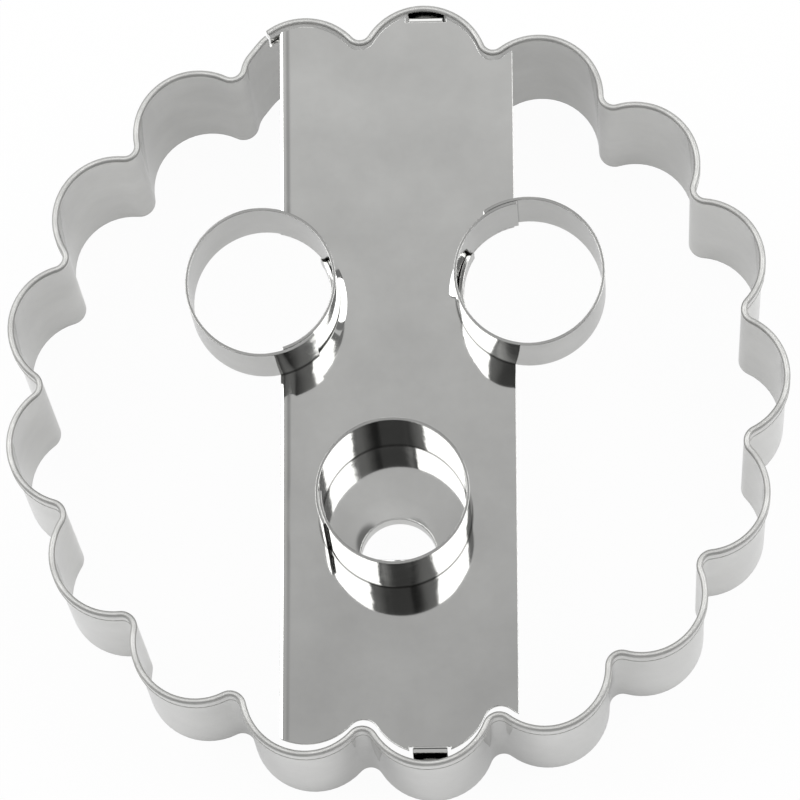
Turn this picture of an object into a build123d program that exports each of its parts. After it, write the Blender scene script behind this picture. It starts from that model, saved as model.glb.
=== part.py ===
"""Linzer cookie cutter: a fluted band, a bridge strip and three eye rings, in millimetres.

The cutter stands on its plain cutting edge. That edge lies at z = 0 and +Z points up to the
hem and the rings. +Y runs along the bridge strip, +X across it, and the origin is on the
axis of the band.
"""
import os
from math import asin, atan2, cos, degrees, pi, radians, sin, sqrt

from build123d import *

QUARTER_TURN = 90
HALF_TURN = 180
FULL_TURN = 360

# Sheet metal
SHEET = 0.3
STRIP_SHEET = 0.4
LAP_GAP = 0.04

# Fluted band
LOBES = 17
BAND_HEIGHT = 20.0
CREST_RADIUS = 39.49
VALLEY_RADIUS = 35.9
VALLEY_FILLET = 1.5

# Hem along the top of the band, pressed flat, its fold drawn with chords
HEM_DEPTH = 1.9
HEM_CHORDS = 3

# Lapped ends of the band, as angles on the seam lobe
SEAM_LOBE = 5
SEAM_START = 20.7
SEAM_HEM_END = 24.4
SEAM_INSET_FROM = 36.0
TONGUE_END = -33.7
TONGUE_DROP = 0.8

# Bridge strip
STRIP_LEFT = -11.67
STRIP_RIGHT = 12.2
STRIP_MIDDLE_Z = 17.75
BOW_RADIUS = 300.0
STRIP_REACH = 45.0
UPPER_END_SHIFT = (0.0, -0.45)
LOWER_END_SHIFT = (0.15, 0.62)
LEFT_CORNER = 0.6
EDGE_WIDTH = 0.28
EDGE_DROP = 0.12

# Tabs at the strip's two ends
END_TAB_LOBE = 4
END_TAB_X = 3.35
END_TAB_WIDTH = 3.45
END_TAB_SLIT = 0.35
END_TAB_GAP = 0.69
END_TAB_BEND = 0.25
END_TAB_ROOT = 0.6
END_TAB_SINK = 0.02
END_TAB_LEAN = 3.0
END_TAB_DEPTH = 5.0

# Eye rings
RING_RADIUS = 7.39
RING_HEIGHT = 8.8
RING_LAP = 27.0
RING_ROOT = 1.0
LEFT_RING = (-13.14, 9.0)
RIGHT_RING = (13.75, 9.39)
LOWER_RING = (0.16, -13.7)
LEFT_LAP_FROM = -72.9
RIGHT_LAP_FROM = 98.6
LOWER_LAP_FROM = 179.1

# Tabs bent up inside the rings, a little flatter than the rings
RING_TAB_WIDTH = 7.84
RING_TAB_BEND = 7.8
SIDE_TAB_HEIGHT = 2.7
SIDE_TAB_CORNER = 0.8
LOWER_TAB_HEIGHT = 7.4
LOWER_TAB_CORNER = 3.9
LEFT_TAB_TOWARD = 0
RIGHT_TAB_TOWARD = 180
LOWER_TAB_TOWARD = -90

# Push-out opening inside the lower ring
OPENING_CENTRE = (0.27, -17.9)
OPENING_RADIUS = 3.92
OPENING_RUN = 2.4
LIP_DEPTH = 0.9
CUT_DEPTH = 4.0

# Values that follow from the ones above
PITCH = FULL_TURN / LOBES
HALF_SHEET = SHEET / 2
HALF_STRIP_SHEET = STRIP_SHEET / 2
LAP_STEP = SHEET + LAP_GAP
RING_INSIDE = RING_RADIUS - HALF_SHEET
RING_TAB_CHORD = sqrt(RING_INSIDE**2 - (RING_TAB_WIDTH / 2) ** 2)
RING_TAB_BACK = sqrt(RING_TAB_BEND**2 - (RING_TAB_WIDTH / 2) ** 2) - RING_TAB_CHORD
BOW_CENTRE_Z = STRIP_MIDDLE_Z + BOW_RADIUS
BOW_TURN = degrees(asin(STRIP_REACH / BOW_RADIUS))
VALLEY_CENTRE = VALLEY_RADIUS + VALLEY_FILLET
VALLEY_X = VALLEY_CENTRE * cos(pi / LOBES)
VALLEY_Y = VALLEY_CENTRE * sin(pi / LOBES)
VALLEY_SHORT = VALLEY_X - CREST_RADIUS
LOBE_RADIUS = (VALLEY_Y**2 + VALLEY_SHORT**2 - VALLEY_FILLET**2) / (VALLEY_FILLET - VALLEY_SHORT) / 2
LOBE_CENTRE = CREST_RADIUS - LOBE_RADIUS
JOINT = degrees(atan2(VALLEY_Y, VALLEY_X - LOBE_CENTRE))
SEAM_BEND = LAP_STEP / (1 - cos(radians(JOINT - SEAM_INSET_FROM)))


def polar(radius, angle):
    """Point at a distance and an angle in degrees from the origin."""
    return Vector(radius * cos(radians(angle)), radius * sin(radians(angle)), 0)


# Fluted outline


def lobe_middle(lobe):
    return polar(LOBE_CENTRE, lobe * PITCH)


def crest(lobe, start, end, shift=0.0):
    """Round crest of one flute between two angles measured from its top."""
    return CenterArc(lobe_middle(lobe), LOBE_RADIUS + shift, lobe * PITCH + start, end - start)


def valley(lobe, shift=0.0):
    """Fillet between a flute and the next one clockwise."""
    middle = polar(VALLEY_CENTRE, lobe * PITCH - PITCH / 2)
    start = lobe * PITCH - JOINT + HALF_TURN
    return CenterArc(middle, VALLEY_FILLET - shift, start, 2 * JOINT - PITCH)


def fluted_area(shift):
    """Whole fluted outline moved outward by a distance, as a flat area."""
    edges = []
    for lobe in range(LOBES, 0, -1):
        edges.append(crest(lobe, JOINT, -JOINT, shift))
        edges.append(valley(lobe, shift))
    return make_face(edges)


# Band with its hem and lapped ends


def band_path():
    """Middle of the sheet from one lapped end clockwise round to the end of the hem."""
    last = SEAM_LOBE - LOBES
    edges = [crest(SEAM_LOBE, SEAM_START, -JOINT), valley(SEAM_LOBE)]
    for lobe in range(SEAM_LOBE - 1, last, -1):
        edges.append(crest(lobe, JOINT, -JOINT))
        edges.append(valley(lobe))
    bend_middle = lobe_middle(last) + polar(SEAM_BEND, last * PITCH + JOINT)
    bend = CenterArc(bend_middle, LOBE_RADIUS - SEAM_BEND, last * PITCH + JOINT, SEAM_INSET_FROM - JOINT)
    inset = crest(last, SEAM_INSET_FROM, SEAM_HEM_END, -LAP_STEP)
    edges.extend([bend, Line(bend @ 1, inset @ 0), inset])
    return Wire(edges)


def section_plane(path):
    """Plane across the start of a clockwise path with its x axis pointing out of the band."""
    along = path % 0
    return Plane(origin=path @ 0, x_dir=Vector(0, 0, 1).cross(along), z_dir=along)


def hem_section():
    """Wall and the hem pressed flat on its outside, out of the band along x and up along y."""
    hem_z = BAND_HEIGHT - HEM_DEPTH
    middle = Vector(HALF_SHEET, BAND_HEIGHT - SHEET)
    fold = [middle + polar(SHEET, HALF_TURN - HALF_TURN * n / HEM_CHORDS) for n in range(HEM_CHORDS + 1)]
    leaf = [(HALF_SHEET + SHEET, hem_z), (HALF_SHEET, hem_z)]
    wall = [(HALF_SHEET, 0), (-HALF_SHEET, 0)]
    return make_face(Polyline(*fold, *leaf, *wall, close=True))


def tongue():
    """Plain end of the sheet that passes inside the other end, below the hem."""
    last = SEAM_LOBE - LOBES
    inner = crest(last, SEAM_HEM_END, TONGUE_END, -LAP_STEP - HALF_SHEET)
    outer = crest(last, SEAM_HEM_END, TONGUE_END, -LAP_STEP + HALF_SHEET)
    area = make_face([inner, outer, Line(inner @ 0, outer @ 0), Line(inner @ 1, outer @ 1)])
    return extrude(area, BAND_HEIGHT - HEM_DEPTH - TONGUE_DROP)


def fluted_band():
    path = band_path()
    section = section_plane(path) * hem_section()
    return sweep(section, path=path) + tongue()


# Bowed sheet of the bridge strip


def bow_height(y):
    """Height of the strip's upper face."""
    return BOW_CENTRE_Z - sqrt(BOW_RADIUS**2 - y**2)


def strip_frame(x, y):
    """Plane lying on the strip's upper face at a point."""
    normal = (0, -y / BOW_RADIUS, (BOW_CENTRE_Z - bow_height(y)) / BOW_RADIUS)
    return Plane(origin=(x, y, bow_height(y)), x_dir=(1, 0, 0), z_dir=normal)


def bowed_block(thickness):
    """Material under the strip's upper face, to a depth."""
    side = Plane(origin=(-STRIP_REACH, 0, 0), x_dir=(0, 1, 0), z_dir=(1, 0, 0))
    top = CenterArc((0, BOW_CENTRE_Z), BOW_RADIUS, -QUARTER_TURN - BOW_TURN, 2 * BOW_TURN)
    base = CenterArc((0, BOW_CENTRE_Z), BOW_RADIUS + thickness, -QUARTER_TURN - BOW_TURN, 2 * BOW_TURN)
    area = make_face([top, base, Line(top @ 0, base @ 0), Line(top @ 1, base @ 1)])
    return extrude(side * area, 2 * STRIP_REACH)


def strip_plan():
    """Outline of the strip from above, each end shaped like the flutes it faces and set back from them."""
    width = STRIP_RIGHT - STRIP_LEFT
    middle = (STRIP_RIGHT + STRIP_LEFT) / 2
    inside = fluted_area(-HALF_SHEET)
    plan = Pos(middle, 0) * Rectangle(width, 2 * STRIP_REACH)
    plan = plan & Pos(*UPPER_END_SHIFT) * inside & Pos(*LOWER_END_SHIFT) * inside
    return fillet(plan.vertices().group_by(Axis.X)[0], LEFT_CORNER)


def pressed_edge():
    """Cut along the left side that leaves the edge of the upper face pressed down."""
    inside = STRIP_LEFT + 2 * EDGE_WIDTH
    outside = STRIP_LEFT - EDGE_WIDTH
    above = STRIP_MIDDLE_Z + EDGE_DROP
    below = STRIP_MIDDLE_Z - 2 * EDGE_DROP
    corners = [(inside, above), (outside, below), (outside, above)]
    wedge = Plane.XZ * make_face(Polyline(*corners, close=True))
    bow_axis = Axis((0, 0, BOW_CENTRE_Z), (1, 0, 0))
    return revolve(wedge.rotate(bow_axis, -BOW_TURN), bow_axis, 2 * BOW_TURN)


def strip_blank():
    """Bowed strip with its left edge pressed down."""
    blank = extrude(strip_plan(), BAND_HEIGHT + STRIP_REACH) & bowed_block(STRIP_SHEET)
    return blank - pressed_edge()


# Tabs of the strip


def end_tab_top(side):
    """Distance from the middle of the strip to the middle of the sheet where an end tab turns down."""
    wall = abs(lobe_middle(side * END_TAB_LOBE).Y) + LOBE_RADIUS - HALF_SHEET
    return wall - END_TAB_GAP - HALF_STRIP_SHEET


def end_tab_slits(side):
    """Cut that frees an end tab from the strip's end on both sides."""
    start = end_tab_top(side) - HALF_STRIP_SHEET - END_TAB_BEND
    block = Box(END_TAB_WIDTH + 2 * END_TAB_SLIT, STRIP_REACH, 2 * BAND_HEIGHT)
    return Pos(END_TAB_X, side * (start + STRIP_REACH / 2), BAND_HEIGHT) * block


def end_tab(side):
    """Tab bent down at one end of the strip, leaning out until it meets the band's wall."""
    crest_middle = lobe_middle(side * END_TAB_LOBE)
    corner = abs(END_TAB_X - crest_middle.X) + END_TAB_WIDTH / 2
    wall = abs(crest_middle.Y) + sqrt((LOBE_RADIUS - HALF_SHEET) ** 2 - corner**2)
    foot = wall - HALF_STRIP_SHEET
    top = end_tab_top(side)
    root = top - HALF_STRIP_SHEET - END_TAB_BEND - END_TAB_ROOT
    sink = HALF_STRIP_SHEET + END_TAB_SINK
    top_z = bow_height(top) - sink
    leg = [(top, top_z), (foot, top_z - END_TAB_LEAN), (foot, top_z - END_TAB_DEPTH)]
    line = FilletPolyline((root, bow_height(root) - sink), *leg, radius=END_TAB_BEND + HALF_STRIP_SHEET)
    upright = Plane(origin=(END_TAB_X, 0, 0), x_dir=(0, side, 0), z_dir=(side, 0, 0))
    return extrude(upright * trace(line, STRIP_SHEET), END_TAB_WIDTH / 2, both=True)


def tab_cylinder(toward, radius, height):
    """Round block behind a ring tab, whose bend touches the ring along the tab's two sides."""
    return Pos(polar(-RING_TAB_BACK, toward)) * Cylinder(radius, height)


def tab_inside(toward):
    """Space on the inner side of a ring tab."""
    return tab_cylinder(toward, RING_TAB_BEND - STRIP_SHEET, 2 * CUT_DEPTH)


def ring_tab(toward, height, corner):
    """Tab with rounded corners standing against the inside of a ring."""
    wall = tab_cylinder(toward, RING_TAB_BEND, 2 * height)
    wall = wall - tab_cylinder(toward, RING_TAB_BEND - STRIP_SHEET, 2 * height)
    outline = Pos(0, (height - STRIP_SHEET) / 2) * Rectangle(RING_TAB_WIDTH, height + STRIP_SHEET)
    outline = fillet(outline.vertices().group_by(Axis.Y)[-1], corner)
    facing = Plane(origin=(0, 0, 0), x_dir=polar(1, toward + QUARTER_TURN), z_dir=polar(1, toward))
    return wall & extrude(facing * outline, RING_RADIUS)


def notch(toward):
    """Round notch inside a ring, leaving the root of its tab."""
    outward = Box(2 * RING_RADIUS, RING_TAB_WIDTH, 2 * CUT_DEPTH)
    root = Rot(0, 0, toward) * Pos(RING_RADIUS, 0, 0) * outward - tab_inside(toward)
    return Cylinder(RING_INSIDE, 2 * CUT_DEPTH) - root


# Push-out opening


def opening_plan(reach):
    """Arch and straight sides, drawn past the tab to a round end, seen from the ring's middle."""
    x = OPENING_CENTRE[0] - LOWER_RING[0]
    y = OPENING_CENTRE[1] - LOWER_RING[1]
    return Pos(x, y - OPENING_RUN / 2) * SlotCenterToCenter(OPENING_RUN, 2 * reach, QUARTER_TURN)


def add_opening(strip):
    """Cuts the push-out opening with its edge turned down, up to the tab inside the ring."""
    place = strip_frame(*LOWER_RING)
    hole = Pos(0, 0, -CUT_DEPTH) * extrude(opening_plan(OPENING_RADIUS), 2 * CUT_DEPTH)
    collar = extrude(opening_plan(OPENING_RADIUS + STRIP_SHEET), LIP_DEPTH - STRIP_SHEET / 2)
    turned = strip + place * Pos(0, 0, -LIP_DEPTH) * collar - place * hole
    inside = place * tab_inside(LOWER_TAB_TOWARD)
    return (turned & inside) + (strip - inside)


def bridge_strip():
    left = strip_frame(*LEFT_RING)
    right = strip_frame(*RIGHT_RING)
    lower = strip_frame(*LOWER_RING)
    strip = strip_blank() - left * notch(LEFT_TAB_TOWARD) - right * notch(RIGHT_TAB_TOWARD)
    strip = add_opening(strip)
    strip = strip + left * ring_tab(LEFT_TAB_TOWARD, SIDE_TAB_HEIGHT, SIDE_TAB_CORNER)
    strip = strip + right * ring_tab(RIGHT_TAB_TOWARD, SIDE_TAB_HEIGHT, SIDE_TAB_CORNER)
    strip = strip + lower * ring_tab(LOWER_TAB_TOWARD, LOWER_TAB_HEIGHT, LOWER_TAB_CORNER)
    for side in (1, -1):
        strip = strip - end_tab_slits(side) + end_tab(side)
    return strip


# Eye rings


def ring_area(lap_from):
    """Strip rolled round once and lapped over its own start, seen along its axis."""
    moved = polar(LAP_STEP / 2, lap_from)
    wide = RING_RADIUS + LAP_STEP / 2
    half = lap_from + HALF_TURN
    inner = CenterArc((0, 0), RING_RADIUS - HALF_SHEET, lap_from, HALF_TURN)
    inner_end = CenterArc(moved, wide - HALF_SHEET, half, HALF_TURN + RING_LAP)
    outer = CenterArc((0, 0), RING_RADIUS + HALF_SHEET, lap_from, HALF_TURN)
    outer_end = CenterArc(moved, wide + HALF_SHEET, half, HALF_TURN + RING_LAP)
    first = Line(inner @ 0, outer @ 0)
    last = Line(inner_end @ 1, outer_end @ 1)
    return make_face([inner, inner_end, outer, outer_end, first, last])


def eye_ring(place, lap_from):
    """Ring standing square on the strip, its foot cut to the strip's bow."""
    wall = Pos(0, 0, -RING_ROOT) * extrude(ring_area(lap_from), RING_HEIGHT + RING_ROOT)
    return strip_frame(*place) * wall - bowed_block(2 * RING_ROOT)


def main():
    os.makedirs("parts", exist_ok=True)
    export_step(fluted_band(), "parts/fluted_band.step")
    export_step(bridge_strip(), "parts/bridge_strip.step")
    export_step(eye_ring(LEFT_RING, LEFT_LAP_FROM), "parts/left_ring.step")
    export_step(eye_ring(RIGHT_RING, RIGHT_LAP_FROM), "parts/right_ring.step")
    export_step(eye_ring(LOWER_RING, LOWER_LAP_FROM), "parts/lower_ring.step")


main()
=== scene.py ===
"""Finish, rim fold, camera and studio of a fluted linzer cookie cutter in bright tinplate."""
from math import atan2, cos, pi, radians, sin

import bpy
from bpy.props import FloatProperty, FloatVectorProperty, IntProperty, PointerProperty
from mathutils import Matrix, Vector


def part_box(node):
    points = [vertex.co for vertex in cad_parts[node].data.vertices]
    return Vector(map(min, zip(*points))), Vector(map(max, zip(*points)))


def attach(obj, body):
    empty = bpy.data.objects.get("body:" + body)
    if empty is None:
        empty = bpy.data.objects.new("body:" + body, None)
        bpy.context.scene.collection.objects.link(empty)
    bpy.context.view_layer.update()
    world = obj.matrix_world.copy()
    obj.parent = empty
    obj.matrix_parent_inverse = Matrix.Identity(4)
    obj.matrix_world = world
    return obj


bl_info = {
    "name": "Linzer Cookie Cutter",
    "version": (1, 0, 0),
    "blender": (4, 5, 0),
    "location": "View3D > Sidebar > Cutter",
    "description": "Finishes a fluted cookie cutter in bright tinplate and sets it in a plain studio",
    "category": "Object",
}

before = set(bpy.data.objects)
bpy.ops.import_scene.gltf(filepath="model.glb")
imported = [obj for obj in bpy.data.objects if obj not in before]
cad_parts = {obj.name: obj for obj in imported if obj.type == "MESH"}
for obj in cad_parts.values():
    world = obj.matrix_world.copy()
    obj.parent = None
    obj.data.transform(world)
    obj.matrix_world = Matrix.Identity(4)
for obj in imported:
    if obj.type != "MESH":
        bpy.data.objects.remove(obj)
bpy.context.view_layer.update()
MM = 0.001
BODY = "root"
BAND_NODE = "fluted_band"
STRIP_NODE = "bridge_strip"
RING_NODES = ("left_ring", "right_ring", "lower_ring")
# Slopes that spot welds leave at each ring's foot: direction from the ring's middle in degrees,
# then length and height in millimetres
WELDS = {
    "left_ring": ((14, 6, 0.13), (-8, 6, 0.13)),
    "right_ring": ((168, 6, 0.13),),
}
# Softboxes: side of the cutter, lean from overhead in degrees, then width and near and far end in metres
SOFTBOXES = {
    "softbox_right": (1, 38, 0.93, -0.16, 0.6),
    "softbox_left": (-1, 36, 1.02, -0.18, 0.6),
}
# Where parts of the room begin and end, as the X or Y share of a direction seen from the cutter
CEILING_FADE = (0.1, 0.4)
FAR_WALL_RISE = (0.5, 0.75)
PANEL_END = (0.09, 0.12)
PANEL_SHIFT = 0.03
SIDE_WALL_RISE = (0.8, 0.9)
# The camera rig is a soft-edged oval there: its middle along Y, how many times its half widths along X
# and Y go into 1, and where its edge begins and ends in half widths
RIG_MIDDLE = -0.27
RIG_SCALE = (4.5, 5, 0)
RIG_EDGE = (0.5, 1.1)
# Noise seldom leaves this range
NOISE_RANGE = (0.15, 0.85)
# Share of a sheet's sky that is open where the painted seam shade begins, and where it is darkest
SEAM_SKY = (0.85, 0.5)
# Spread of the tin coat's roughness round its mean
GLOSS_SPREAD = 0.3
# Faces that meet at less than this are smoothed together
SMOOTH_ANGLE = radians(50)
# Spread of a rubbed metal's tone and roughness round their means
RUB_SPREAD = 0.2


def linear(hex_colour):
    """Linear red, green and blue of an sRGB hex value."""
    shares = [int(hex_colour[n:n + 2], 16) / 255 for n in (1, 3, 5)]
    return [c / 12.92 if c <= 0.04045 else ((c + 0.055) / 1.055) ** 2.4 for c in shares]


def polar(radius, angle):
    return Vector((radius * cos(angle), radius * sin(angle), 0))


# Sizes and colours

class TinplateFinish(bpy.types.PropertyGroup):
    """Bright tinplate: cold-rolled steel sheet with a reflowed coat of tin."""

    light: FloatVectorProperty(
        name="Light tin", description="Colour where the tin coat is brightest",
        subtype="COLOR", default=linear("#E2E2E0"), min=0, max=1)
    dull: FloatVectorProperty(
        name="Dull tin", description="Colour where the tin coat is a little clouded",
        subtype="COLOR", default=linear("#CBCBC9"), min=0, max=1)
    stretched: FloatVectorProperty(
        name="Stretched tin", description="Colour of the coat where a fold has stretched it",
        subtype="COLOR", default=linear("#BEBEBC"), min=0, max=1)
    # Bare steel of the cut edge, darker than the coat, partly as painted shade under the folded leaf
    steel: FloatVectorProperty(
        name="Bare steel", description="Colour of the bare steel in a cut edge",
        subtype="COLOR", default=linear("#C4C4C1"), min=0, max=1)
    gloss: FloatProperty(
        name="Roughness", description="Roughness of the reflowed tin coat",
        subtype="FACTOR", default=0.055, min=0, max=1)
    fold_gloss: FloatProperty(
        name="Fold roughness", description="Roughness of the coat where a fold has stretched it",
        subtype="FACTOR", default=0.55, min=0, max=1)
    rub: FloatProperty(
        name="Rubbed patch", description="Width of the patches that handling rubs bright on a fold",
        unit="LENGTH", default=2.5 * MM)
    tear: FloatProperty(
        name="Tear length", description="Length of the torn stretches in a sheared edge",
        unit="LENGTH", default=0.8 * MM)
    cloud: FloatProperty(
        name="Cloud size", description="Width of the clouds in the tin coat",
        unit="LENGTH", default=9 * MM)
    # Painted shade in the seams: the coat is darkened towards the colour below where another sheet stands
    # this near, for the shade in the gap
    seam: FloatProperty(
        name="Seam reach", description="How near another sheet has to be for dirt to gather in the seam",
        unit="LENGTH", default=0.3 * MM)
    painted_shade: FloatVectorProperty(
        name="Seam dirt", description="Colour of the coat in a seam",
        subtype="COLOR", default=linear("#6E6E6C"), min=0, max=1)
    edge: FloatProperty(
        name="Edge round", description="Radius that the shears leave on a cut edge",
        unit="LENGTH", default=0.09 * MM)


class StripMarks(bpy.types.PropertyGroup):
    """Marks that cutting, pressing and welding leave in the strip."""

    dent: FloatProperty(
        name="Dent width", description="Width of the shallow dents from handling",
        unit="LENGTH", default=16 * MM)
    dent_depth: FloatProperty(
        name="Dent depth", description="Depth of the shallow dents",
        unit="LENGTH", default=0.03 * MM)
    warp: FloatProperty(
        name="Warp width", description="Width of the ripples that welding leaves beside a ring",
        unit="LENGTH", default=3.2 * MM)
    warp_depth: FloatProperty(
        name="Warp depth", description="Depth of those ripples",
        unit="LENGTH", default=0.03 * MM)
    warp_reach: FloatProperty(
        name="Warp reach", description="How far the ripples reach from a ring",
        unit="LENGTH", default=3.5 * MM)
    weld_width: FloatProperty(
        name="Weld width", description="Width of the slope that a spot weld leaves at a ring's foot",
        unit="LENGTH", default=0.7 * MM)
    wall: FloatProperty(
        name="Ring wall", description="Thickness of the ring's wall, which hides the slope's top",
        unit="LENGTH", default=0.3 * MM)
    bead: FloatProperty(
        name="Edge bead", description="Width of the swollen zone beside the pressed left edge",
        unit="LENGTH", default=1.6 * MM)
    bead_height: FloatProperty(
        name="Bead height", description="Height of the swollen zone at the left edge",
        unit="LENGTH", default=0.072 * MM)
    droop: FloatProperty(
        name="Drooping edge", description="Width of the drooping zone along the right edge",
        unit="LENGTH", default=4 * MM)
    droop_drop: FloatProperty(
        name="Droop", description="Drop of the drooping zone at the right edge",
        unit="LENGTH", default=0.09 * MM)
    dish: FloatProperty(
        name="Dish width", description="Width of the soft dip round the push-out opening",
        unit="LENGTH", default=2.4 * MM)
    dish_drop: FloatProperty(
        name="Dish drop", description="Depth of that dip at the opening",
        unit="LENGTH", default=0.135 * MM)
    dish_shift: FloatProperty(
        name="Dish shift", description="How far the dip's middle lies from the opening's",
        unit="LENGTH", default=1.5 * MM)
    dish_toward: FloatProperty(
        name="Dish toward", description="Direction of that shift", subtype="ANGLE", default=radians(115))


class RingMarks(bpy.types.PropertyGroup):
    """Marks that rolling leaves in the rings."""

    # Painted shade: the rings' tin is darkened by this share, standing in for the shaded floor that their
    # walls mirror
    shade: FloatProperty(
        name="Shade", description="Share of the light that a ring's thinner coat still mirrors",
        subtype="FACTOR", default=0.8, min=0, max=1)
    dent: FloatProperty(
        name="Dent width", description="Width of the dents round a ring",
        unit="LENGTH", default=1.6 * MM)
    dent_depth: FloatProperty(
        name="Dent depth", description="Depth of the dents",
        unit="LENGTH", default=0.015 * MM)
    streak: FloatProperty(
        name="Streak width", description="Spacing of the rolling streaks, drawn coarser than the real ones",
        unit="LENGTH", default=0.35 * MM)
    streak_depth: FloatProperty(
        name="Streak depth", description="Depth of the rolling streaks",
        unit="LENGTH", default=0.002 * MM)


class BandMarks(bpy.types.PropertyGroup):
    """Marks that crimping leaves in the band."""

    dent: FloatProperty(
        name="Dent width", description="Width of the dents along the flutes",
        unit="LENGTH", default=6 * MM)
    dent_depth: FloatProperty(
        name="Dent depth", description="Depth of the dents",
        unit="LENGTH", default=0.02 * MM)


class OpeningSize(bpy.types.PropertyGroup):
    """Push-out opening inside the lower ring, with its edge turned down."""

    across: FloatProperty(
        name="Across", description="Place of the arch's middle across the strip",
        unit="LENGTH", default=0.27 * MM)
    along: FloatProperty(
        name="Along", description="Place of the arch's middle along the strip",
        unit="LENGTH", default=-17.9 * MM)
    radius: FloatProperty(
        name="Radius", description="Radius of the arch", unit="LENGTH", default=3.92 * MM)
    run: FloatProperty(
        name="Run", description="Length of the straight sides", unit="LENGTH", default=2.3 * MM)
    top: FloatProperty(
        name="Top", description="Top of the flange above the cutting edge", unit="LENGTH", default=17.8 * MM)
    depth: FloatProperty(
        name="Depth", description="Depth of the flange below its top", unit="LENGTH", default=2.1 * MM)
    sheet: FloatProperty(
        name="Sheet", description="Thickness of the flange", unit="LENGTH", default=0.35 * MM)
    proud: FloatProperty(
        name="Proud", description="How far the flange stands inside the cut edge",
        unit="LENGTH", default=0.03 * MM)


class RimFoldSize(bpy.types.PropertyGroup):
    """Round fold along the band's upper edge."""

    flutes: IntProperty(name="Flutes", description="Flutes round the band", default=17, min=3)
    crest: FloatProperty(
        name="Crest radius", description="Middle of the sheet at a flute's top, from the band's axis",
        unit="LENGTH", default=39.49 * MM)
    valley: FloatProperty(
        name="Valley radius", description="Middle of the sheet between flutes, from the band's axis",
        unit="LENGTH", default=35.9 * MM)
    fillet: FloatProperty(
        name="Valley fillet", description="Radius of the bend between flutes",
        unit="LENGTH", default=1.5 * MM)
    height: FloatProperty(
        name="Band height", description="Top of the fold above the cutting edge",
        unit="LENGTH", default=20 * MM)
    sheet: FloatProperty(
        name="Sheet", description="Thickness of the band's sheet, which is the fold's radius",
        unit="LENGTH", default=0.3 * MM)
    hem: FloatProperty(
        name="Hem depth", description="Depth of the leaf that is folded down outside the band",
        unit="LENGTH", default=1.9 * MM)
    cut_edge: FloatProperty(
        name="Cut edge", description="Radius of the bare edge along the leaf's lower end",
        unit="LENGTH", default=0.07 * MM)
    swell: FloatProperty(
        name="Swell", description="How far the fold stands proud of the sheet beside it",
        unit="LENGTH", default=0.02 * MM)
    lap_step: FloatProperty(
        name="Lap step", description="How far the inner end of the seam lies behind the outer one",
        unit="LENGTH", default=0.34 * MM)
    seam_flute: IntProperty(name="Seam flute", description="Flute with the lapped seam", default=5)
    seam_start: FloatProperty(
        name="Seam start", description="Where the fold starts on the seam's flute",
        subtype="ANGLE", default=radians(20.7))
    seam_end: FloatProperty(
        name="Seam end", description="Where the fold ends on the seam's flute",
        subtype="ANGLE", default=radians(24.4))
    inset_from: FloatProperty(
        name="Inset from", description="Where the inner end has stepped behind the outer one",
        subtype="ANGLE", default=radians(36))
    sides: IntProperty(name="Sides", description="Faces round the fold", default=24, min=8)
    step: FloatProperty(
        name="Step", description="Turn of the fold from face to face", subtype="ANGLE", default=radians(4.5))
    valley_step: FloatProperty(
        name="Valley step", description="The same in the tighter bend between flutes",
        subtype="ANGLE", default=radians(9))


class StudioSize(bpy.types.PropertyGroup):
    """Floor, light and camera."""

    floor: FloatProperty(
        name="Floor", description="Width of the floor", unit="LENGTH", default=12.0)
    floor_colour: FloatVectorProperty(
        name="Floor colour", description="Colour of the pale floor",
        subtype="COLOR", default=linear("#E4E4E4"), min=0, max=1)
    seen_white: FloatProperty(
        name="Seen white", description="Share of plain white in the floor that the camera sees",
        subtype="FACTOR", default=0.96, min=0, max=1)
    mirrored_white: FloatProperty(
        name="Mirrored white", description="Share of plain white in the floor that the metal mirrors",
        subtype="FACTOR", default=0.35, min=0, max=1)
    glow: FloatProperty(name="Glow", description="Brightness of the softboxes", default=3, min=0)
    lens: FloatProperty(name="Lens", description="Focal length in millimetres", default=270)
    sensor: FloatProperty(name="Sensor", description="Width of the film in millimetres", default=36)
    distance: FloatProperty(
        name="Distance", description="Camera's distance from the rim's plane",
        unit="LENGTH", default=606.7 * MM)
    tilt: FloatProperty(
        name="Tilt", description="Lean of the view from straight down, towards the lower ring",
        subtype="ANGLE", default=radians(14.758))
    swing: FloatProperty(
        name="Swing", description="Lean of the view towards +X", subtype="ANGLE", default=radians(2.416))
    turn: FloatProperty(
        name="Turn", description="Turn of the cutter in the view", subtype="ANGLE", default=radians(-0.89))
    aside: FloatProperty(
        name="Aside", description="Sideways place of the camera", unit="LENGTH", default=0.533 * MM)
    along: FloatProperty(
        name="Along", description="Upward place of the camera", unit="LENGTH", default=-2.069 * MM)


class StudioRoom(bpy.types.PropertyGroup):
    """Room that is mirrored in the cutter."""

    ceiling: FloatProperty(
        name="Ceiling", description="Brightness overhead, where 1 is white", default=0.66, min=0)
    ceiling_far: FloatProperty(
        name="Far ceiling", description="Brightness of the ceiling's far end", default=0.52, min=0)
    far_wall: FloatProperty(
        name="Far wall", description="Brightness that the far wall adds", default=0.8, min=0)
    gap: FloatProperty(
        name="Gaps", description="Share of the light in the gaps beside the overhead panel",
        subtype="FACTOR", default=0.35, min=0, max=1)
    side_wall: FloatProperty(
        name="Side walls", description="Share of the light that the side walls add to that",
        subtype="FACTOR", default=0.55, min=0, max=1)
    rig: FloatProperty(
        name="Camera rig", description="Share of the light that the dark camera rig leaves",
        subtype="FACTOR", default=0.12, min=0, max=1)


# Materials

def add_node(tree, kind, inputs=(), **settings):
    """Adds a node, sets its properties, and fills its sockets with values or links."""
    node = tree.nodes.new(kind)
    for name, value in settings.items():
        setattr(node, name, value)
    for socket, value in dict(inputs).items():
        if isinstance(value, bpy.types.NodeSocket):
            tree.links.new(value, node.inputs[socket])
        else:
            node.inputs[socket].default_value = value
    return node


def new_tree(name):
    material = bpy.data.materials.new(name)
    material.use_nodes = True
    material.node_tree.nodes.clear()
    return material, material.node_tree


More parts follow.
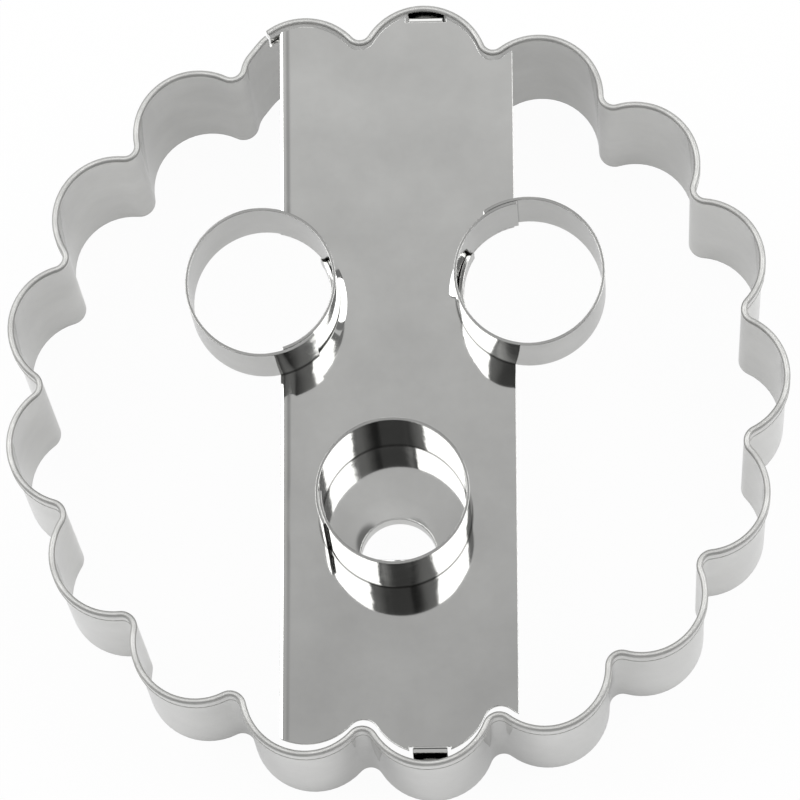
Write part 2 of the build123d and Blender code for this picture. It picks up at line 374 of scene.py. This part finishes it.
def dents(tree, place, width, closeness, depth, normal, detail=1):
    """Shallow dents about as wide as said, and longer along an axis whose closeness is under 1."""
    scale = [share / width for share in closeness]
    spread = add_node(tree, "ShaderNodeMapping", {"Vector": place, "Scale": scale})
    noise = add_node(
        tree, "ShaderNodeTexNoise",
        {"Vector": spread.outputs["Vector"], "Scale": 1, "Detail": detail, "Roughness": 0.5})
    bump = add_node(
        tree, "ShaderNodeBump",
        {"Height": noise.outputs["Fac"], "Strength": 1, "Distance": depth, "Normal": normal})
    return bump.outputs["Normal"]


def tin_coat(tree, finish, place, normal, shade=1):
    """Reflowed tin: a clear mirror with faint clouds, and a thin line of painted shade where another sheet
    stands close to it.
    """
    # A shade below 1 is painted shade that darkens the whole coat
    dull = [shade * c for c in finish.dull]
    light = [shade * c for c in finish.light]
    cloud = add_node(
        tree, "ShaderNodeTexNoise",
        {"Vector": place, "Scale": 1 / finish.cloud, "Detail": 4, "Roughness": 0.6})
    low, high = NOISE_RANGE
    clearness = add_node(
        tree, "ShaderNodeMapRange", {"Value": cloud.outputs["Fac"], "From Min": low, "From Max": high})
    colour = add_node(
        tree, "ShaderNodeMix",
        {"Factor": clearness.outputs["Result"], "A": (*dull, 1), "B": (*light, 1)},
        data_type="RGBA")
    # Painted shade: occlusion darkens the coat towards the seam colour where another sheet stands close
    shelter = add_node(tree, "ShaderNodeAmbientOcclusion", {"Distance": finish.seam}, samples=8)
    most, least = SEAM_SKY
    seam = add_node(
        tree, "ShaderNodeMapRange", {"Value": shelter.outputs["AO"], "From Min": most, "From Max": least})
    coat = add_node(
        tree, "ShaderNodeMix",
        {"Factor": seam.outputs["Result"], "A": colour.outputs["Result"], "B": (*finish.painted_shade, 1)},
        data_type="RGBA")
    gloss = add_node(
        tree, "ShaderNodeMapRange",
        {"Value": clearness.outputs["Result"],
         "To Min": (1 - GLOSS_SPREAD) * finish.gloss, "To Max": (1 + GLOSS_SPREAD) * finish.gloss})
    shader = add_node(
        tree, "ShaderNodeBsdfPrincipled",
        {"Base Color": coat.outputs["Result"], "Metallic": 1, "Roughness": gloss.outputs["Result"],
         "Normal": normal})
    add_node(tree, "ShaderNodeOutputMaterial", {"Surface": shader.outputs["BSDF"]})


def start_tinplate(name, finish):
    """Starts a tinplate material, with the rounding that shears leave on its edges."""
    material, tree = new_tree(name)
    place = add_node(tree, "ShaderNodeTexCoord").outputs["Object"]
    rounded = add_node(tree, "ShaderNodeBevel", {"Radius": finish.edge}, samples=6)
    return material, tree, place, rounded.outputs["Normal"]


def crimped_tinplate(finish, marks):
    """Tinplate crimped into flutes: upright dents that waver along each flute."""
    material, tree, place, normal = start_tinplate("Bright tinplate, crimped", finish)
    upright = (1, 1, 0.2)
    normal = dents(tree, place, marks.dent, upright, marks.dent_depth, normal)
    tin_coat(tree, finish, place, normal)
    return material


def rubbed_metal(name, finish, colour, width):
    """Metal without its mirror, rubbed lighter and darker in patches about as wide as said."""
    material, tree = new_tree(name)
    place = add_node(tree, "ShaderNodeTexCoord").outputs["Object"]
    patch = add_node(tree, "ShaderNodeTexNoise", {"Vector": place, "Scale": 1 / width, "Detail": 3})
    dark, light = ([share * c for c in colour] for share in (1 - RUB_SPREAD, 1 + RUB_SPREAD))
    tone = add_node(
        tree, "ShaderNodeMix", {"Factor": patch.outputs["Fac"], "A": (*dark, 1), "B": (*light, 1)},
        data_type="RGBA")
    gloss = add_node(
        tree, "ShaderNodeMapRange",
        {"Value": patch.outputs["Fac"], "To Min": (1 + RUB_SPREAD) * finish.fold_gloss,
         "To Max": (1 - RUB_SPREAD) * finish.fold_gloss})
    shader = add_node(
        tree, "ShaderNodeBsdfPrincipled",
        {"Base Color": tone.outputs["Result"], "Metallic": 1, "Roughness": gloss.outputs["Result"]})
    add_node(tree, "ShaderNodeOutputMaterial", {"Surface": shader.outputs["BSDF"]})
    return material


def folded_tinplate(finish):
    """Tinplate folded flat: its stretched coat is satin, so the fold shows one soft light line."""
    return rubbed_metal("Bright tinplate, folded", finish, finish.stretched, finish.rub)


def sheared_edge_and_shade(finish):
    """Bare cut edge of the sheet: a thin dull line, darker than the coat and torn in short lengths; its
    darkness is partly painted shade for the shadow line under the folded leaf.
    """
    return rubbed_metal("Tinplate, sheared edge", finish, finish.steel, finish.tear)


def rolled_tinplate(finish, marks):
    """Tinplate rolled into a ring: small dents and fine upright streaks break up what it mirrors."""
    material, tree, place, normal = start_tinplate("Bright tinplate, rolled round", finish)
    rounded = (1, 1, 0.6)
    upright_line = (1, 1, 0.04)
    normal = dents(tree, place, marks.dent, rounded, marks.dent_depth, normal, detail=2)
    normal = dents(tree, place, marks.streak, upright_line, marks.streak_depth, normal)
    # The rings' coat is darkened by painted shade
    tin_coat(tree, finish, place, normal, marks.shade)
    return material


def ring_middle(name):
    """Middle of a ring in plan, and its outer radius."""
    low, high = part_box(name)
    middle = (low + high) / 2
    return Vector((middle.x, middle.y, 0)), (high.x - low.x) / 2


def rise_near(tree, plan, middle, reach, full, most, course="SMOOTHSTEP"):
    """Amount that rises towards a point in plan, from nothing at its reach to its most where it is full."""
    away = add_node(tree, "ShaderNodeVectorMath", {0: plan, 1: middle}, operation="DISTANCE")
    rise = add_node(
        tree, "ShaderNodeMapRange",
        {"Value": away.outputs["Value"], "From Min": reach, "From Max": full, "To Max": most},
        interpolation_type=course)
    return rise.outputs["Result"]


def weld_marks(tree, place, plan, marks, normal):
    """Ripples outside the rings' feet, and a short slope up to the wall at each spot weld."""
    ripple = add_node(
        tree, "ShaderNodeTexNoise", {"Vector": place, "Scale": 1 / marks.warp, "Detail": 1})
    ripples = 0
    slopes = 0
    for name in RING_NODES:
        middle, outside = ring_middle(name)
        inside = outside - marks.wall
        waves = rise_near(tree, plan, middle, inside, outside, ripple.outputs["Fac"])
        waves = rise_near(tree, plan, middle, outside + marks.warp_reach, outside, waves)
        ripples = add_node(tree, "ShaderNodeMath", {0: ripples, 1: waves}, operation="ADD").outputs["Value"]
        for angle, length, height in WELDS.get(name, ()):
            spot = middle + polar(outside, radians(angle))
            weld = rise_near(tree, plan, spot, length / 2 * MM, 0, height)
            weld = rise_near(tree, plan, middle, inside, outside, weld)
            slope = rise_near(
                tree, plan, middle, outside + marks.weld_width, outside, weld, course="LINEAR")
            slopes = add_node(
                tree, "ShaderNodeMath", {0: slopes, 1: slope}, operation="ADD").outputs["Value"]
    for height, unit in ((ripples, marks.warp_depth), (slopes, MM)):
        normal = add_node(
            tree, "ShaderNodeBump",
            {"Height": height, "Strength": 1, "Distance": unit, "Normal": normal}).outputs["Normal"]
    return normal


def pressing_marks(tree, place, plan, marks, opening, normal):
    """Swollen left edge, drooping right edge, and the soft dip round the push-out opening."""
    across = add_node(tree, "ShaderNodeSeparateXYZ", {"Vector": place}).outputs["X"]
    left, right = (corner.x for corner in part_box(STRIP_NODE))
    bead = add_node(
        tree, "ShaderNodeMapRange", {"Value": across, "From Min": left + marks.bead, "From Max": left},
        interpolation_type="SMOOTHSTEP").outputs["Result"]
    level = add_node(
        tree, "ShaderNodeMapRange", {"Value": across, "From Min": right, "From Max": right - marks.droop},
        interpolation_type="SMOOTHSTEP").outputs["Result"]
    # The dip is half as deep at the opening's lip as at its own middle
    middle = Vector((opening.across, opening.along, 0)) + polar(marks.dish_shift, marks.dish_toward)
    lip = opening.radius - marks.dish_shift
    dip = rise_near(tree, plan, middle, lip + marks.dish, lip - marks.dish, 1)
    for height, unit, sunk in (
            (bead, marks.bead_height, False), (level, marks.droop_drop, False),
            (dip, 2 * marks.dish_drop, True)):
        normal = add_node(
            tree, "ShaderNodeBump",
            {"Height": height, "Strength": 1, "Distance": unit, "Normal": normal},
            invert=sunk).outputs["Normal"]
    return normal


def flat_tinplate(finish, marks, opening):
    """Flat tinplate: a quiet mirror, bent a little at the welds, the opening and both long edges."""
    material, tree, place, normal = start_tinplate("Bright tinplate, flat", finish)
    plan = add_node(
        tree, "ShaderNodeVectorMath", {0: place, 1: (1, 1, 0)}, operation="MULTIPLY").outputs["Vector"]
    along_strip = (1, 0.7, 1)
    normal = dents(tree, place, marks.dent, along_strip, marks.dent_depth, normal)
    normal = pressing_marks(tree, place, plan, marks, opening, normal)
    normal = weld_marks(tree, place, plan, marks, normal)
    tin_coat(tree, finish, place, normal)
    return material


def dress(obj, material):
    """Gives a piece one material all over."""
    obj.data.materials.clear()
    obj.data.materials.append(material)


class CUTTER_OT_finish_band(bpy.types.Operator):
    """Gives the fluted band its tinplate"""

    bl_idname = "cutter.finish_band"
    bl_label = "Finish Band"

    def execute(self, context):
        scene = context.scene
        dress(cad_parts[BAND_NODE], crimped_tinplate(scene.cutter_finish, scene.cutter_band))
        return {"FINISHED"}


class CUTTER_OT_finish_strip(bpy.types.Operator):
    """Gives the bridge strip its tinplate"""

    bl_idname = "cutter.finish_strip"
    bl_label = "Finish Strip"

    def execute(self, context):
        scene = context.scene
        tinplate = flat_tinplate(scene.cutter_finish, scene.cutter_strip, scene.cutter_opening)
        dress(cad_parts[STRIP_NODE], tinplate)
        return {"FINISHED"}


class CUTTER_OT_finish_rings(bpy.types.Operator):
    """Gives the eye rings their tinplate"""

    bl_idname = "cutter.finish_rings"
    bl_label = "Finish Rings"

    def execute(self, context):
        tinplate = rolled_tinplate(context.scene.cutter_finish, context.scene.cutter_rings)
        for name in RING_NODES:
            dress(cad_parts[name], tinplate)
        return {"FINISHED"}


# Swept pieces

def turn_round(middle, height, angle, step):
    """Sweeps the selected loop round an upright axis, anticlockwise for a positive angle."""
    bpy.ops.mesh.spin(
        steps=max(1, round(abs(angle) / step)), angle=angle,
        center=(middle.x, middle.y, height), axis=(0, 0, -1))


def start_sweep(name, place, radius, sides, turn):
    """Starts a piece with a round loop standing across a level path."""
    bpy.ops.object.select_all(action="DESELECT")
    bpy.ops.mesh.primitive_circle_add(
        vertices=sides, radius=radius, location=place, rotation=(pi / 2, 0, turn))
    piece = bpy.context.object
    piece.name = name
    bpy.ops.object.transform_apply(location=True, rotation=True, scale=True)
    bpy.ops.object.mode_set(mode="EDIT")
    bpy.ops.mesh.select_all(action="SELECT")
    return piece


def end_sweep(piece, material):
    """Closes both ends of a swept piece, smooths it and hands it over."""
    bpy.ops.mesh.select_all(action="SELECT")
    bpy.ops.mesh.fill_holes(sides=0)
    bpy.ops.mesh.normals_make_consistent(inside=False)
    bpy.ops.object.mode_set(mode="OBJECT")
    bpy.ops.object.shade_smooth_by_angle(angle=SMOOTH_ANGLE)
    dress(piece, material)
    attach(piece, BODY)


def sweep_along_flutes(name, fold, outward, height, radius, material):
    """Sweeps a round loop beside the band's sheet, from the seam clockwise round to the seam."""
    pitch = 2 * pi / fold.flutes
    valley_middle = fold.valley + fold.fillet
    ahead = valley_middle * cos(pitch / 2)
    aside = valley_middle * sin(pitch / 2)
    short = ahead - fold.crest
    crest_radius = (aside**2 + short**2 - fold.fillet**2) / (fold.fillet - short) / 2
    crest_middle = fold.crest - crest_radius
    joint = atan2(aside, ahead - crest_middle)
    seam = fold.seam_flute * pitch
    seam_middle = polar(crest_middle, seam)
    start = seam_middle + polar(crest_radius + outward, seam + fold.seam_start)
    piece = start_sweep(name, (start.x, start.y, height), radius, fold.sides, seam + fold.seam_start)
    turn_round(seam_middle, height, -joint - fold.seam_start, fold.step)
    last = fold.seam_flute - fold.flutes
    for flute in range(fold.seam_flute - 1, last, -1):
        valley = polar(valley_middle, (flute + 0.5) * pitch)
        turn_round(valley, height, 2 * joint - pitch, fold.valley_step)
        turn_round(polar(crest_middle, flute * pitch), height, -2 * joint, fold.step)
    valley = polar(valley_middle, (last + 0.5) * pitch)
    turn_round(valley, height, 2 * joint - pitch, fold.valley_step)
    ease = joint - fold.inset_from
    bend = fold.lap_step / (1 - cos(ease))
    turn_round(seam_middle + polar(bend, seam + joint), height, -ease, fold.step)
    straight = polar(bend * sin(ease), seam + fold.inset_from - pi / 2)
    bpy.ops.mesh.extrude_region_move(TRANSFORM_OT_translate={"value": straight})
    turn_round(seam_middle, height, fold.seam_end - fold.inset_from, fold.step)
    end_sweep(piece, material)


class CUTTER_OT_rim_fold(bpy.types.Operator):
    """Sweeps the round fold along the band's upper edge and the cut edge of its folded leaf"""

    bl_idname = "cutter.rim_fold"
    bl_label = "Rim Fold"

    def execute(self, context):
        fold = context.scene.cutter_fold
        finish = context.scene.cutter_finish
        half = fold.sheet / 2
        top = fold.height - fold.sheet
        sweep_along_flutes("rim_fold", fold, half, top, fold.sheet + fold.swell, folded_tinplate(finish))
        # The leaf's cut edge is bare steel, whose darker line also stands in as painted shade under the leaf
        leaf_end = fold.height - fold.hem
        edge_out = half + fold.sheet - fold.cut_edge / 2
        sweep_along_flutes("hem_edge", fold, edge_out, leaf_end, fold.cut_edge, sheared_edge_and_shade(finish))
        return {"FINISHED"}


class CUTTER_OT_opening_flange(bpy.types.Operator):
    """Sweeps the flange that is turned down round the push-out opening"""

    bl_idname = "cutter.opening_flange"
    bl_label = "Opening Flange"

    def execute(self, context):
        opening = context.scene.cutter_opening
        middle = Vector((opening.across, opening.along, 0))
        height = opening.top - opening.depth / 2
        out = opening.radius - opening.proud + opening.sheet / 2
        start = (middle.x + out, middle.y - opening.run, height)
        # A square loop with its corners at a radius of 1 is turned level and brought to the sheet's section
        piece = start_sweep("opening_flange", start, 1, 4, 0)
        side = 2**0.5
        bpy.ops.transform.rotate(value=pi / 4, orient_axis="Y", center_override=start)
        bpy.ops.transform.resize(
            value=(opening.sheet / side, 1, opening.depth / side), center_override=start)
        bpy.ops.mesh.extrude_region_move(TRANSFORM_OT_translate={"value": (0, opening.run, 0)})
        turn_round(middle, height, pi, context.scene.cutter_fold.step)
        bpy.ops.mesh.extrude_region_move(TRANSFORM_OT_translate={"value": (0, -opening.run, 0)})
        end_sweep(piece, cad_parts[STRIP_NODE].data.materials[0])
        return {"FINISHED"}


# Stage

def floor_paper(studio):
    """White paper: white to the eye, less so in the metal, with the cutter's soft shadow on it."""
    material, tree = new_tree("White paper sweep")
    paths = add_node(tree, "ShaderNodeLightPath")
    mirrored = add_node(
        tree, "ShaderNodeMath", {0: paths.outputs["Is Glossy Ray"], 1: paths.outputs["Is Transmission Ray"]},
        operation="MAXIMUM")
    mirrored_share = add_node(
        tree, "ShaderNodeMath", {0: mirrored.outputs["Value"], 1: studio.mirrored_white},
        operation="MULTIPLY")
    seen_share = add_node(
        tree, "ShaderNodeMath", {0: paths.outputs["Is Camera Ray"], 1: studio.seen_white},
        operation="MULTIPLY")
    share = add_node(
        tree, "ShaderNodeMath", {0: seen_share.outputs["Value"], 1: mirrored_share.outputs["Value"]},
        operation="MAXIMUM")
    paper = add_node(tree, "ShaderNodeBsdfDiffuse", {"Color": (*studio.floor_colour, 1)})
    white = add_node(tree, "ShaderNodeEmission", {"Color": (1, 1, 1, 1), "Strength": 1})
    mixed = add_node(
        tree, "ShaderNodeMixShader",
        {0: share.outputs["Value"], 1: paper.outputs["BSDF"], 2: white.outputs["Emission"]})
    add_node(tree, "ShaderNodeOutputMaterial", {"Surface": mixed.outputs["Shader"]})
    return material


def lay_floor(studio):
    bpy.ops.object.select_all(action="DESELECT")
    bpy.ops.mesh.primitive_plane_add(size=studio.floor)
    floor = bpy.context.object
    floor.name = "floor"
    dress(floor, floor_paper(studio))


def hang_softbox(name, side, lean, width, near, far, glow):
    """Soft light panel one metre off on one side, from a near to a far place along Y."""
    lamp = bpy.data.lights.new(name, "AREA")
    lamp.shape = "RECTANGLE"
    lamp.size = width
    lamp.size_y = far - near
    lamp.energy = glow * pi * lamp.size * lamp.size_y
    box = bpy.data.objects.new(name, lamp)
    bpy.context.scene.collection.objects.link(box)
    box.location = (side * sin(lean), (near + far) / 2, cos(lean))
    box.rotation_euler = (0, side * lean, 0)


def studio_room(scene, room):
    """Grey room with a bright far wall, dark gaps beside the overhead panel, and the dark camera rig."""
    world = bpy.data.worlds.new("Studio room")
    world.use_nodes = True
    tree = world.node_tree
    tree.nodes.clear()
    way = add_node(tree, "ShaderNodeTexCoord").outputs["Generated"]
    parts = add_node(tree, "ShaderNodeSeparateXYZ", {"Vector": way})
    first, last = CEILING_FADE
    ceiling = add_node(
        tree, "ShaderNodeMapRange",
        {"Value": parts.outputs["Y"], "From Min": first, "From Max": last,
         "To Min": room.ceiling, "To Max": room.ceiling_far}).outputs["Result"]
    first, last = FAR_WALL_RISE
    far_wall = add_node(
        tree, "ShaderNodeMapRange",
        {"Value": parts.outputs["Y"], "From Min": first, "From Max": last, "To Max": room.far_wall},
        interpolation_type="SMOOTHSTEP").outputs["Result"]
    wall = add_node(tree, "ShaderNodeMath", {0: ceiling, 1: far_wall}, operation="ADD").outputs["Value"]
    aside = add_node(tree, "ShaderNodeMath", {0: parts.outputs["X"], 1: PANEL_SHIFT}, operation="ADD")
    off = add_node(
        tree, "ShaderNodeMath", {0: aside.outputs["Value"]}, operation="ABSOLUTE").outputs["Value"]
    first, last = PANEL_END
    panel = add_node(
        tree, "ShaderNodeMapRange",
        {"Value": off, "From Min": first, "From Max": last, "To Min": 1, "To Max": room.gap},
        interpolation_type="SMOOTHSTEP").outputs["Result"]
    first, last = SIDE_WALL_RISE
    side_wall = add_node(
        tree, "ShaderNodeMapRange",
        {"Value": off, "From Min": first, "From Max": last, "To Max": room.side_wall},
        interpolation_type="SMOOTHSTEP").outputs["Result"]
    share = add_node(tree, "ShaderNodeMath", {0: panel, 1: side_wall}, operation="ADD").outputs["Value"]
    rig_place = (0, -RIG_MIDDLE * RIG_SCALE[1], 0)
    rig_way = add_node(
        tree, "ShaderNodeMapping", {"Vector": way, "Location": rig_place, "Scale": RIG_SCALE})
    rig_off = add_node(
        tree, "ShaderNodeVectorMath", {0: rig_way.outputs["Vector"]}, operation="LENGTH").outputs["Value"]
    first, last = RIG_EDGE
    rig = add_node(
        tree, "ShaderNodeMapRange",
        {"Value": rig_off, "From Min": first, "From Max": last, "To Min": room.rig},
        interpolation_type="SMOOTHSTEP").outputs["Result"]
    lit = add_node(tree, "ShaderNodeMath", {0: wall, 1: share}, operation="MULTIPLY").outputs["Value"]
    glow = add_node(tree, "ShaderNodeMath", {0: lit, 1: rig}, operation="MULTIPLY").outputs["Value"]
    light = add_node(tree, "ShaderNodeBackground", {"Color": (1, 1, 1, 1), "Strength": glow})
    add_node(tree, "ShaderNodeOutputWorld", {"Surface": light.outputs["Background"]})
    scene.world = world


def place_camera(scene, studio):
    lens = bpy.data.cameras.new("camera")
    lens.lens = studio.lens
    lens.sensor_width = studio.sensor
    camera = bpy.data.objects.new("camera", lens)
    scene.collection.objects.link(camera)
    turn = Matrix.Rotation(studio.turn, 4, "Z")
    tilt = Matrix.Rotation(studio.tilt, 4, "X")
    swing = Matrix.Rotation(studio.swing, 4, "Y")
    back = Matrix.Translation((studio.aside, studio.along, studio.distance))
    rim = Matrix.Translation((0, 0, scene.cutter_fold.height))
    camera.matrix_world = rim @ turn @ tilt @ swing @ back
    scene.camera = camera


class CUTTER_OT_stage(bpy.types.Operator):
    """Lays the floor, hangs the lights and places the camera"""

    bl_idname = "cutter.stage"
    bl_label = "Set Stage"

    def execute(self, context):
        studio = context.scene.cutter_studio
        lay_floor(studio)
        studio_room(context.scene, context.scene.cutter_room)
        for name, (side, lean, width, near, far) in SOFTBOXES.items():
            hang_softbox(name, side, radians(lean), width, near, far, studio.glow)
        place_camera(context.scene, studio)
        context.scene.view_settings.view_transform = "Standard"
        return {"FINISHED"}


class CUTTER_PT_panel(bpy.types.Panel):
    """Sidebar panel with the cutter's steps"""

    bl_idname = "CUTTER_PT_panel"
    bl_label = "Cookie Cutter"
    bl_space_type = "VIEW_3D"
    bl_region_type = "UI"
    bl_category = "Cutter"

    def draw(self, context):
        for step in STEPS:
            self.layout.operator(step.bl_idname)


GROUPS = {
    "cutter_finish": TinplateFinish,
    "cutter_strip": StripMarks,
    "cutter_rings": RingMarks,
    "cutter_band": BandMarks,
    "cutter_opening": OpeningSize,
    "cutter_fold": RimFoldSize,
    "cutter_studio": StudioSize,
    "cutter_room": StudioRoom,
}
STEPS = (
    CUTTER_OT_finish_band,
    CUTTER_OT_finish_strip,
    CUTTER_OT_finish_rings,
    CUTTER_OT_rim_fold,
    CUTTER_OT_opening_flange,
    CUTTER_OT_stage,
)


def register():
    for cls in (*GROUPS.values(), *STEPS, CUTTER_PT_panel):
        bpy.utils.register_class(cls)
    for name, group in GROUPS.items():
        setattr(bpy.types.Scene, name, PointerProperty(type=group))


def unregister():
    for name in GROUPS:
        delattr(bpy.types.Scene, name)
    for cls in (CUTTER_PT_panel, *reversed(STEPS), *GROUPS.values()):
        bpy.utils.unregister_class(cls)


def main():
    register()
    bpy.ops.cutter.finish_band()
    bpy.ops.cutter.finish_strip()
    bpy.ops.cutter.finish_rings()
    bpy.ops.cutter.rim_fold()
    bpy.ops.cutter.opening_flange()
    bpy.ops.cutter.stage()


if __name__ == "__main__":
    main()
